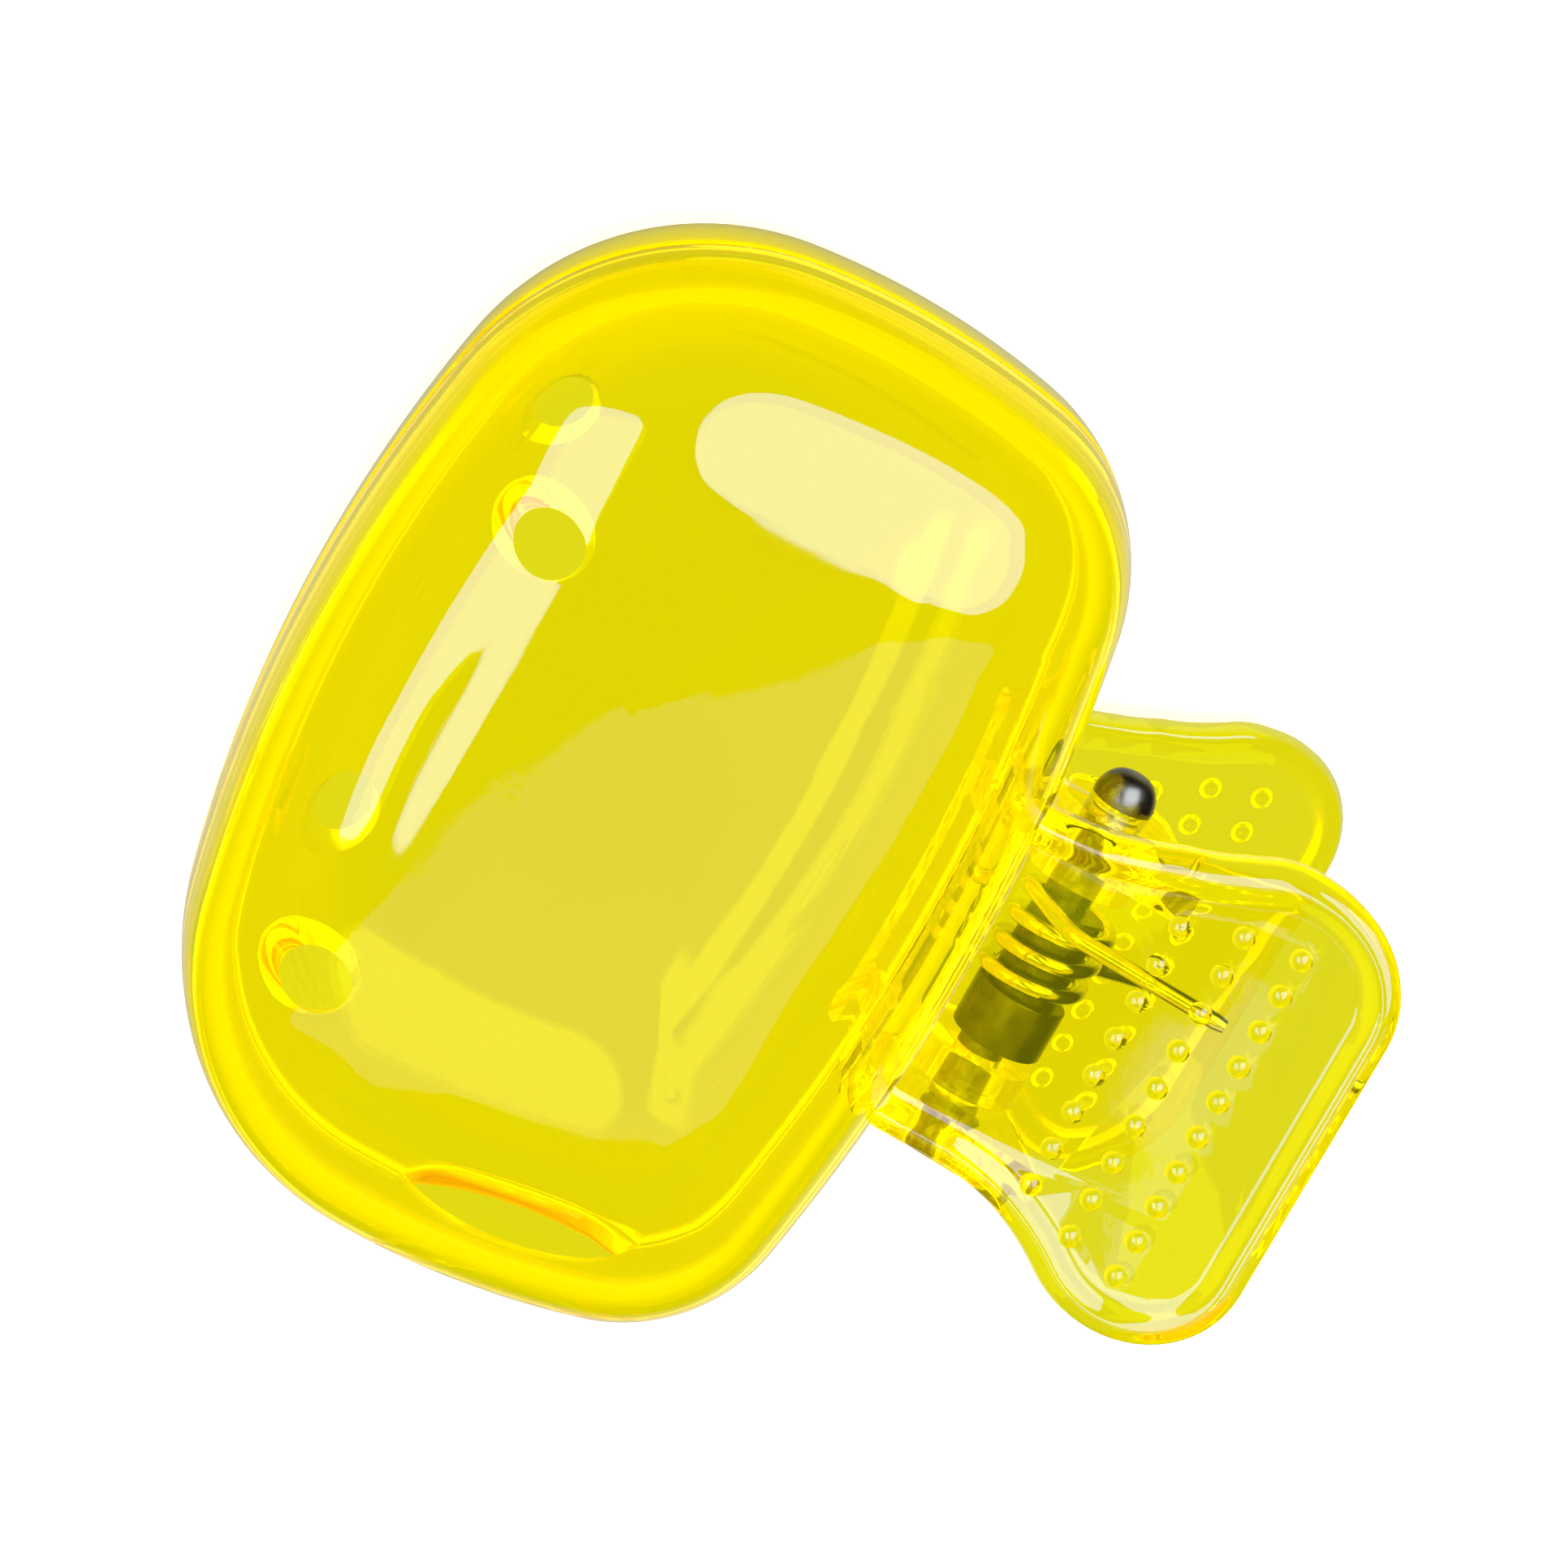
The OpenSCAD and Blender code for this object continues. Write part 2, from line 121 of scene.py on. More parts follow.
# The head's underside: height, and radius as a share of HEAD_R. The pin widens under it over HEAD_RUN.
HEAD_EDGE = [(0, 0.9), (0.06, 0.98)]
HEAD_RUN = 0.02
WIRE_R, COIL_R, COIL_OFF = 0.35, 1.95, 0.35
COIL_LOW, COIL_HIGH = -0.663, 3.163
# Where the legs leave the coil, and how far it winds between them.
LEAVE, COIL_SWEEP = math.radians(160), math.radians(1120)
# The radius of the wire's two ends, as a share of its own.
WIRE_END = 0.75
LEG_BEND_R, LEG_GAP, LEG_END_X = 1.1, 0.1, HALF_W + 9.2
SLEEVE_TOP, SLEEVE_L, SLEEVE_R, SLEEVE_EDGE = -1.113, 2.4, 1.95, 0.12
# The sleeve's hub reaches into the coil.
HUB_R, HUB_TOP, SLEEVE_OFF = 1.5, 2.9, 0.35


# Shapes in numpy, in millimetres.

def heading(a, b):
    return math.atan2(b[1] - a[1], b[0] - a[0])


def meet(c1, r1, c2, r2):
    """Where two circles cross, to the right of the line from c1 to c2."""
    c1, c2 = np.array(c1, float), np.array(c2, float)
    gap = np.linalg.norm(c2 - c1)
    u = (c2 - c1) / gap
    along = (r1 * r1 - r2 * r2 + gap * gap) / 2 / gap
    across = math.sqrt(r1 * r1 - along * along)
    return c1 + along * u + across * np.array([u[1], -u[0]])


def arc(c, r, a1, a2, steps):
    """Points of an arc without its last one."""
    a = a1 + (a2 - a1) * np.arange(steps) / steps
    return np.column_stack([c[0] + r * np.cos(a), c[1] + r * np.sin(a)])


def mirrored(line):
    """The line's mirror image over the X axis, run the other way."""
    return line[::-1] * [1, -1]


def case_ring(inset):
    """The case's outline drawn in by inset, with corners that stay soft."""
    far_r = (max(FAR_CORNER_R - inset, 0) ** 4 + SOFTEST_CORNER ** 4) ** 0.25
    near_r = (max(HINGE_CORNER_R - inset, 0) ** 4 + SOFTEST_CORNER ** 4) ** 0.25
    far_c, near_c = (FAR_SIDE_R - HALF_W, 0), (HALF_W - HINGE_SIDE_R, 0)
    end_c = (0, HALF_L - END_R)
    far_k = meet(far_c, FAR_SIDE_R - inset - far_r, end_c, END_R - inset - far_r)
    near_k = meet(end_c, END_R - inset - near_r, near_c, HINGE_SIDE_R - inset - near_r)
    a_near, b_near = heading(near_c, near_k), heading(end_c, near_k)
    a_far, b_far = heading(end_c, far_k), heading(far_c, far_k)
    arcs = (
        (near_c, HINGE_SIDE_R - inset, 0, a_near),
        (near_k, near_r, a_near, b_near),
        (end_c, END_R - inset, b_near, a_far),
        (far_k, far_r, a_far, b_far),
        (far_c, FAR_SIDE_R - inset, b_far, math.pi))
    half = np.vstack([arc(*one, steps) for one, steps in zip(arcs, RING_STEPS)])
    return np.vstack([half, [[inset - HALF_W, 0]], mirrored(half[1:])])


# Where the bulging side turns into the rounded edge, and that edge's centre as (inset, height).
EDGE_RISE = HALF_T + CROWN_FLAT - BORDER_DROP - EDGE_R * math.sin(EDGE_END)
BULGE_END = math.asin(EDGE_RISE / (SIDE_BULGE_R - EDGE_R))
EDGE_C = ((SIDE_BULGE_R - (SIDE_BULGE_R - EDGE_R) * math.cos(BULGE_END)),
          (SIDE_BULGE_R - EDGE_R) * math.sin(BULGE_END))


def section(offset, z_start):
    """Inset and height of the wall's face at that offset, from the rim up to the crown's border."""
    start = math.asin(z_start / (SIDE_BULGE_R - offset))
    low = [(SIDE_BULGE_R - (SIDE_BULGE_R - offset) * math.cos(a), (SIDE_BULGE_R - offset) * math.sin(a))
           for a in np.linspace(start, BULGE_END, 7)[:-1]]
    high = [(EDGE_C[0] - (EDGE_R - offset) * math.cos(a), EDGE_C[1] + (EDGE_R - offset) * math.sin(a))
            for a in np.linspace(BULGE_END, EDGE_END, 22)]
    return low + high


def at_height(ring, z):
    return np.column_stack([ring, np.full(len(ring), z)])


def crown(offset):
    """Rings of the crowned face from near its middle to its border, and the point in the middle."""
    inset, border_z = section(offset, RIM_Z)[-1]
    border = case_ring(inset)
    rise = HALF_T - offset - border_z
    slope = np.linalg.norm(border, axis=1) * math.tan(math.pi / 2 - EDGE_END) / rise
    slope = np.minimum(slope, CROWN_STEEPEST)
    rings = []
    for share in CROWN_SHARES:
        s = 1 - share
        climb = slope * (s ** 3 - 2 * s * s + s) + 3 * s * s - 2 * s ** 3
        rings.append(np.column_stack([border * share, border_z + rise * climb]))
    return rings, (0, 0, HALF_T - offset)


def loft(rows, first=None, last=None):
    """A skin through closed rings of equal length. Each end is a fan to a point, or one flat face."""
    n = len(rows[0])
    verts = [tuple(p) for row in rows for p in row]
    faces = [(j * n + k, (j + 1) * n + k, (j + 1) * n + (k + 1) % n, j * n + (k + 1) % n)
             for j in range(len(rows) - 1) for k in range(n)]
    for start, point in ((0, first), ((len(rows) - 1) * n, last)):
        ring = [start + k for k in range(n)]
        if point is None:
            faces.append(tuple(ring))
        else:
            verts.append(tuple(point))
            faces += [(len(verts) - 1, ring[k], ring[(k + 1) % n]) for k in range(n)]
    return verts, faces


def shell_skin():
    """The hollow half case as one closed skin: outer face, rounded rim, inner face."""
    outer, top = crown(0)
    inner, under = crown(WALL)
    quarter = np.radians([0, 15, 32, 50, 70, 90])
    rows = list(outer)
    rows += [at_height(case_ring(i), z) for i, z in reversed(section(0, RIM_Z + RIM_OUT))]
    rows += [at_height(case_ring(RIM_OUT * (1 - math.cos(a))), RIM_Z + RIM_OUT * (1 - math.sin(a)))
             for a in quarter[1:]]
    rows += [at_height(case_ring(WALL - RIM_IN * (1 - math.cos(a))), RIM_Z + RIM_IN * (1 - math.sin(a)))
             for a in quarter[:0:-1]]
    rows += [at_height(case_ring(i), z) for i, z in section(WALL, RIM_Z + RIM_IN)]
    rows += list(reversed(inner))
    return loft(rows, top, under)


def pad_z(x):
    """Height of the wing's finger pad over the parting plane."""
    return WING_ROOT_HEIGHT + (x - HALF_W) * math.tan(WING_ANGLE)


def under_z(x):
    """Height of the wing's underside."""
    return pad_z(x) - WING_T / math.cos(WING_ANGLE)


def placed(ring, shift, room):
    """The wing's outline moved by shift, less and less towards its root, with a wider neck on one side."""
    share = np.clip((ring[:, :1] - ROOT_X - ROOT_RUN) / SHIFT_RUN, 0, 1)
    wider = np.interp(ring[:, 0], *np.transpose(room)) * np.clip(ring[:, 1] / ROOM_RUN, 0, 1)
    return ring + share * np.array(shift) + np.column_stack([np.zeros(len(ring)), wider])


def wing_ring(inset):
    """The wing's outline drawn in by inset: straight tip, round corners, and necks that curve to the root."""
    corner = (WING_TIP_X - WING_CORNER_R, WING_HALF - WING_CORNER_R)
    rise, run = NECK_HALF - corner[1], corner[0] - NECK_X
    neck_r = (run ** 2 + rise ** 2 - WING_CORNER_R ** 2) / 2 / (WING_CORNER_R - rise)
    neck = (NECK_X, NECK_HALF + neck_r)
    blend = heading(neck, corner)
    tip = np.column_stack([np.full(6, WING_TIP_X - inset), np.arange(6) / 6 * corner[1]])
    root = np.array([[x, NECK_HALF - inset] for x in (NECK_X, ROOT_X + ROOT_RUN, ROOT_X)])
    upper = np.vstack([
        tip,
        arc(corner, WING_CORNER_R - inset, 0, blend + math.pi, 22),
        arc(neck, neck_r + inset, blend, -math.pi / 2, 22),
        root])
    return np.vstack([upper, mirrored(upper[1:])])


def wing_skin(shift, room):
    """The wing's slab with a rolled border round the finger pad."""
    path = []
    for s in np.linspace(0, 1, 9)[:-1]:
        path.append((BORDER_W - (BORDER_W - BORDER_CREST) * s, BORDER_H * (3 * s * s - 2 * s ** 3)))
    for a in np.linspace(math.pi / 2, 0, 9)[:-1]:
        path.append((BORDER_CREST * (1 - math.cos(a)), WING_WAIST + (BORDER_H - WING_WAIST) * math.sin(a)))
    bottom = -WING_T / math.cos(WING_ANGLE)
    for a in np.linspace(0, math.pi / 2, 8):
        path.append((WING_UNDER_R * (1 - math.cos(a)), WING_WAIST + (bottom - WING_WAIST) * math.sin(a)))
    rows = []
    for inset, height in path:
        ring = placed(wing_ring(inset), shift, room)
        rows.append(np.column_stack([ring, pad_z(ring[:, 0]) + height]))
    return loft(rows)


def turns(steps):
    """Even angles for one full turn."""
    return np.linspace(0, 2 * math.pi, steps + 1)[:-1]


def ball(centre, r, around=20, up=12):
    centre = np.array(centre)
    rows = []
    for a in np.linspace(-math.pi / 2, math.pi / 2, up + 1)[1:-1]:
        level, out = r * math.sin(a), r * math.cos(a)
        rows.append(np.array([centre + (out * math.cos(b), out * math.sin(b), level) for b in turns(around)]))
    return loft(rows, centre - (0, 0, r), centre + (0, 0, r))


def joined(parts):
    verts, faces = [], []
    for v, f in parts:
        faces += [tuple(i + len(verts) for i in face) for face in f]
        verts += v
    return verts, faces


def dots_skin(shift):
    """The domes in rows on the finger pad: balls that stand DOT_H out of it."""
    r = (DOT_R ** 2 + DOT_H ** 2) / 2 / DOT_H
    parts = []
    for x, span, count in DOT_ROWS:
        for i in range(count):
            y = span * (i / (count - 1) - 0.5)
            parts.append(ball((x + shift[0], y + shift[1], pad_z(x + shift[0]) + DOT_H - r), r))
    return joined(parts)


def ear_skin(y):
    """One ear: its round end on the pin and its web up to the wing, between y and y + EAR_T."""
    foot = (EAR_FOOT_X, (under_z(EAR_FOOT_X) + pad_z(EAR_FOOT_X)) / 2)
    away = math.hypot(foot[0] - PIN_X, foot[1])
    touch = math.atan2(foot[1], foot[0] - PIN_X) - math.acos(EAR_R / away)
    root = ROOT_X + EAR_SUNK
    side = [(root, RIM_Z), (PIN_X - EAR_R, RIM_Z)]
    side += [(PIN_X + EAR_R * math.cos(a), EAR_R * math.sin(a)) for a in np.linspace(-math.pi, touch, 40)]
    side += [foot, (foot[0] + EAR_TOE[0], foot[1] + EAR_TOE[1]), (root, pad_z(ROOT_X) - EAR_UNDER)]
    rows = [np.array([(px, v, pz) for px, pz in side]) for v in (y, y + EAR_T)]
    return loft(rows)


def lathe(profile, axis_point, around=64, along="y"):
    """A turned skin: profile is (distance along the axis, radius), with both ends at radius 0."""
    order = (0, 2, 1) if along == "y" else (0, 1, 2)

    def ring(s, r):
        return np.array([(axis_point[0] + r * math.cos(b), axis_point[1] + r * math.sin(b), s)
                         for b in turns(around)])[:, order]

    rows = [ring(s, r) for s, r in profile[1:-1]]
    return loft(rows, ring(profile[0][0], 0)[0], ring(profile[-1][0], 0)[0])


def vent_cutter(side, shift):
    """A cone that widens towards the inside of the wall."""
    inner, outer = VENT_FACE_Z - WALL, VENT_FACE_Z
    widest = VENT_INNER_R + (VENT_INNER_R - VENT_OUTER_R) / WALL * VENT_REACH
    profile = [(inner - CUT_PAST, 0), (inner - CUT_PAST, widest), (inner - VENT_REACH, widest),
               (outer, VENT_OUTER_R), (outer + CUT_PAST, VENT_OUTER_R), (outer + CUT_PAST, 0)]
    return lathe(profile, (VENT_X + shift[0], side * VENT_Y + shift[1]), 64, "z")


def end_wall_y(x, z, offset):
    """Where the end wall's face at that offset stands, on the notch's side."""
    inset = SIDE_BULGE_R - math.sqrt((SIDE_BULGE_R - offset) ** 2 - z * z)
    return END_R - HALF_L - math.sqrt((END_R - inset) ** 2 - x * x)


def notch_cutter():
    """The round opening for the neck, with its edges rounded over at both faces of the wall."""
    centre_z = NOTCH_DEPTH - NOTCH_R
    ends = np.linspace(math.radians(15), math.pi / 2, 7)
    columns = []
    for b in turns(180):
        x, z = NOTCH_X + NOTCH_R * math.cos(b), max(centre_z + NOTCH_R * math.sin(b), 0)
        out_y, in_y = end_wall_y(x, z, 0), end_wall_y(x, z, WALL)
        corner = [(NOTCH_EDGE * (1 - math.cos(a)), NOTCH_EDGE * (1 - math.sin(a))) for a in ends]
        path = [(out_y - NOTCH_PAST, NOTCH_EDGE * NOTCH_FLARE)]
        path += [(out_y + step, r) for step, r in corner]
        path += [(in_y - step, r) for step, r in reversed(corner)]
        path += [(in_y + NOTCH_PAST, NOTCH_EDGE * NOTCH_FLARE)]
        columns.append([(NOTCH_X + (NOTCH_R + r) * math.cos(b), y, centre_z + (NOTCH_R + r) * math.sin(b))
                        for y, r in path])
    rows = [np.array([column[k] for column in columns]) for k in range(len(columns[0]))]
    return loft(rows, *[(NOTCH_X, step - HALF_L, centre_z) for step in NOTCH_ENDS])


def bore_cutter():
    r = PIN_R + BORE_PLAY
    return lathe([(-BORE_HALF, 0), (-BORE_HALF, r), (BORE_HALF, r), (BORE_HALF, 0)], (PIN_X, 0), 64)


# From numbers to Blender objects, in metres, with the back face at z = 0.

def new_piece(name, skin, flip=False):
    """An object from a skin in millimetres. The rear half's skins are flipped over the parting plane."""
    verts, faces = skin
    flipped = -1 if flip else 1
    mesh = bpy.data.meshes.new(name)
    mesh.from_pydata([(x * MM, y * MM, (flipped * z + HALF_T) * MM) for x, y, z in verts], [], faces)
    piece = bpy.data.objects.new(name, mesh)
    bpy.context.scene.collection.objects.link(piece)
    tidy(piece)
    return piece


def tidy(piece):
    """Joins points that meet, and turns all faces outwards."""
    bm = bmesh.new()
    bm.from_mesh(piece.data)
    bmesh.ops.remove_doubles(bm, verts=bm.verts, dist=2e-7)
    bmesh.ops.recalc_face_normals(bm, faces=bm.faces)
    bm.to_mesh(piece.data)
    bm.free()


def bake(piece):
    """Turns the piece's modifiers into its mesh."""
    graph = bpy.context.evaluated_depsgraph_get()
    mesh = bpy.data.meshes.new_from_object(piece.evaluated_get(graph))
    old = piece.data
    piece.modifiers.clear()
    piece.data = mesh
    bpy.data.meshes.remove(old)


def combine(piece, operation, *others):
    """Adds the others to the piece, or cuts them out of it, and removes them."""
    for other in others:
        step = piece.modifiers.new(operation.lower(), "BOOLEAN")
        step.operation = operation
        step.solver = "MANIFOLD"
        step.object = other
    bake(piece)
    for other in others:
        bpy.data.objects.remove(other)


def bevel(piece, width):
    step = piece.modifiers.new("bevel", "BEVEL")
    step.width = width * MM
    step.segments = 3
    step.limit_method = "ANGLE"
    step.angle_limit = math.radians(40)
    bake(piece)


def smooth(piece, sharp=38):
    piece.data.polygons.foreach_set("use_smooth", [True] * len(piece.data.polygons))
    piece.data.set_sharp_from_angle(angle=math.radians(sharp))


def make_shell(name, ear_y, wing_shift, neck_room, dot_shift, flip):
    """One half of the case with wing, dots and ears. The rear half is drawn like the front, then flipped."""
    piece = new_piece(name, shell_skin(), flip)
    wing = new_piece(name + "_wing", wing_skin(wing_shift, neck_room), flip)
    combine(wing, "UNION", new_piece("dots", dots_skin(dot_shift), flip))
    ears = []
    for y in (ear_y, -ear_y - EAR_T):
        ear = new_piece("ear", ear_skin(y), flip)
        bevel(ear, EAR_BEVEL)
        ears.append(ear)
    combine(wing, "UNION", *ears)
    combine(piece, "UNION", wing)
    vent_shift = REAR_VENT_SHIFT if flip else FRONT_VENT_SHIFT
    cutters = [new_piece("vent", vent_cutter(side, vent_shift), flip) for side in (1, -1)]
    cutters += [new_piece("notch", notch_cutter(), flip), new_piece("bore", bore_cutter(), flip)]
    combine(piece, "DIFFERENCE", *cutters)
    smooth(piece)
    return piece


def make_pin():
    """The pin with its peened end and its domed head, turned round the hinge's axis."""
    end = OUTER_EAR_Y + EAR_T
    tail = pin_low[1]
    profile = [(tail, 0)] + [(tail + step, PEEN_R * share) for step, share in PEEN_SHAPE]
    profile += [(tail + PEEN_L, PIN_R * PEEN_FOOT), (tail + PEEN_L + PEEN_RUN, PIN_R)]
    profile += [(end - HEAD_RUN, PIN_R), (end, PIN_R + BORE_PLAY)]
    profile += [(end + step, HEAD_R * share) for step, share in HEAD_EDGE]
    profile += [(end + HEAD_H * math.sin(a), HEAD_R * math.cos(a) ** HEAD_FULL)
                for a in np.radians(np.linspace(10, 86, 16))]
    profile += [(end + HEAD_H, 0)]
    return new_piece("pin_steel", lathe(profile, (PIN_X, 0), 96))


def make_sleeve():
    """The round sleeve on the pin beside the coil, with rounded ends and a hub inside the coil."""
    low, high = SLEEVE_TOP - SLEEVE_L, SLEEVE_TOP
    edge = [(SLEEVE_EDGE * (1 - math.cos(a)), SLEEVE_EDGE * (1 - math.sin(a)))
            for a in np.linspace(0, math.pi / 2, 6)]
    bore = PIN_R + SLEEVE_PLAY
    profile = [(low, bore)]
    profile += [(low + step, SLEEVE_R - drop) for drop, step in reversed(edge)]
    profile += [(high - step, SLEEVE_R - drop) for drop, step in edge]
    profile += [(high, HUB_R), (HUB_TOP, HUB_R), (HUB_TOP, bore)]
    n, count = 72, len(profile)
    verts = []
    for y, r in profile:
        axis_x = PIN_X + (SLEEVE_OFF if r > bore else 0)
        verts += [(axis_x + r * math.cos(b), y, r * math.sin(b)) for b in turns(n)]
    faces = [(j * n + k, ((j + 1) % count) * n + k, ((j + 1) % count) * n + (k + 1) % n, j * n + (k + 1) % n)
             for j in range(count) for k in range(n)]
    return new_piece("sleeve", (verts, faces))


def leg_line():
    """One leg in its own plane, from the coil's +Y end to its tip under the wing."""
    p = np.array([PIN_X + COIL_OFF + COIL_R * math.cos(LEAVE), COIL_R * math.sin(LEAVE)])
    d = np.array([math.sin(LEAVE), -math.cos(LEAVE)])
    along = np.array([math.cos(WING_ANGLE), math.sin(WING_ANGLE)])
    rise = p[1] - under_z(p[0]) + (WIRE_R + LEG_GAP) / math.cos(WING_ANGLE)
    knee = p + rise / (d[0] * math.tan(WING_ANGLE) - d[1]) * d
    turn = LEAVE - math.pi / 2 - WING_ANGLE
    centre = knee - LEG_BEND_R * math.tan(turn / 2) * d + LEG_BEND_R * np.array([d[1], -d[0]])
    bend = [centre + LEG_BEND_R * np.array([math.cos(a), math.sin(a)])
            for a in np.linspace(LEAVE, LEAVE - turn, 14)]
    end = knee + (LEG_END_X - knee[0]) / along[0] * along
    straight = [p + d * s for s in np.linspace(0.1, np.linalg.norm(bend[0] - p) - 0.1, 8)]
    run = [bend[-1] + (end - bend[-1]) * s for s in np.linspace(0.02, 1, 16)]
    return straight + bend + run


def spring_line():
    """The wire's middle line: one leg, the coil, and the other leg mirrored."""
    leg = leg_line()
    share = np.linspace(0, 1, 240)
    a = -LEAVE - COIL_SWEEP * share
    y = COIL_LOW + (COIL_HIGH - COIL_LOW) * share
    coil = np.column_stack([PIN_X + COIL_OFF + COIL_R * np.cos(a), y, COIL_R * np.sin(a)])
    first = [(q[0], COIL_LOW, -q[1]) for q in reversed(leg)]
    last = [(q[0], COIL_HIGH, q[1]) for q in leg]
    return np.vstack([first, coil, last])


def tube_skin(line, r, sides=16):
    """A round wire along the line, with its two ends drawn in a little."""
    line = np.array(line)
    n = len(line)
    heads = np.array([line[min(i + 1, n - 1)] - line[max(i - 1, 0)] for i in range(n)])
    heads /= np.linalg.norm(heads, axis=1)[:, None]
    rows = []
    for i in range(n):
        e1 = np.cross(heads[i], (0, 1, 0))
        e1 /= np.linalg.norm(e1)
        e2 = np.cross(heads[i], e1)
        scale = r if 0 < i < n - 1 else r * WIRE_END
        rows.append(np.array([line[i] + scale * (math.cos(b) * e1 + math.sin(b) * e2)
                              for b in turns(sides)]))
    return loft(rows)


# Materials.

# What each face of the plastic lets through, and what the plastic takes on the way, by its density.
PASS_TINT = (0.95, 0.892, 0.55)
INSIDE_TINT, INSIDE_DENSITY = (0.9958, 0.988, 0.0), 2400.0
# Painted glow on faces met from inside, which keeps the light that runs far inside the walls yellow.
PAINTED_GLOW_TINT, PAINTED_GLOW = (0.88, 1.0, 0.0), 0.105
# The light of lamps that falls through the plastic onto other things.
SHADOW_TINT = (0.93, 0.9, 0.7)
# The darker and the paler tone of each metal's patches, and its roughness.
DARK_STEEL_TONES = ((0.085, 0.077, 0.047), (0.15, 0.136, 0.083))
PIN_STEEL_TONES = ((0.16, 0.145, 0.065), (0.26, 0.235, 0.1))
STEEL_ROUGH = (0.22, 0.36)
SPRING_TONES, SPRING_ROUGH = ((0.7, 0.69, 0.66), (0.86, 0.85, 0.82)), (0.1, 0.22)
FLOOR_SHADES, FLOOR_LIFT = (0.86, 0.9), 0.74
# The floor's light near the case and far from it, as seen through the plastic and as mirrored. Each reach is
# the pair of distances in metres between which the light changes.
# Both are painted: a painted shadow under the case as seen through the plastic, and a painted pool of light
# there in mirrors.
FLOOR_SEEN, SEEN_REACH = (0.73, 1.2), (0.022, 0.036)
FLOOR_MIRRORED, MIRRORED_REACH = (0.5, 0.0), (0.022, 0.034)
FLOOR_SPOT, FLOOR_SPOT_STRETCH = (0.010, -0.008, 0.0), (0.85, 0.85, 1.0)
# The painted tint of the far floor, and of the room where it is seen through the plastic. Elsewhere both are
# white.
FAR_TINT, WHITE = (1.0, 0.83, 0.6), (1.0, 1.0, 1.0)
# The room's brightness: as light, in mirrors, as seen, and as seen overhead through the plastic. It changes
# to the last between two heights of the view's direction.
ROOM_LIGHT, ROOM_MIRRORED, ROOM_SEEN, ROOM_OVERHEAD = 0.35, 0.02, 1.25, 0.6
OVERHEAD_FROM = (0.5, 0.85)


def nodes_of(material):
    material.use_nodes = True
    tree = material.node_tree
    tree.nodes.clear()
    return tree


def add(tree, kind, **values):
    """A new node. Each value is a link, a socket's value (with _ for a space) or a setting of the node."""
    node = tree.nodes.new(kind)
    for key, value in values.items():
        if isinstance(value, bpy.types.NodeSocket):
            tree.links.new(value, node.inputs[key.replace("_", " ")])
        elif key.replace("_", " ") in node.inputs:
            node.inputs[key.replace("_", " ")].default_value = value
        else:
            setattr(node, key, value)
    return node


def noise(tree, scale, detail=3.0):
    """Noise in the piece's own coordinates. The scale is in waves to a metre."""
    where = add(tree, "ShaderNodeTexCoord")
    return add(tree, "ShaderNodeTexNoise", Vector=where.outputs["Object"], Scale=scale, Detail=detail)


def ramp(tree, source, low, high, to_low, to_high):
    """The source from low to high, spread over to_low to to_high."""
    step = tree.nodes.new("ShaderNodeMapRange")
    tree.links.new(source, step.inputs[0])
    for i, v in enumerate((low, high, to_low, to_high)):
        step.inputs[i + 1].default_value = v
    return step.outputs[0]


def either(tree, choice, no, yes):
    """The number no where the choice is 0, and yes where it is 1."""
    pick = tree.nodes.new("ShaderNodeMix")
    pick.data_type = "FLOAT"
    for socket, value in zip((0, 2, 3), (choice, no, yes)):
        if isinstance(value, bpy.types.NodeSocket):
            tree.links.new(value, pick.inputs[socket])
        else:
            pick.inputs[socket].default_value = value
    return pick.outputs[0]


def between(tree, share, first, second):
    """The first colour where share is 0, and the second where it is 1."""
    pick = tree.nodes.new("ShaderNodeMix")
    pick.data_type = "RGBA"
    tree.links.new(share, pick.inputs[0])
    pick.inputs[6].default_value = (*first, 1)
    pick.inputs[7].default_value = (*second, 1)
    return pick.outputs[2]


def mixed(tree, choice, no, yes):
    """The shader no where the choice is 0, and yes where it is 1."""
    mix = tree.nodes.new("ShaderNodeMixShader")
    for source, socket in zip((choice, no, yes), mix.inputs):
        tree.links.new(source, socket)
    return mix.outputs[0]


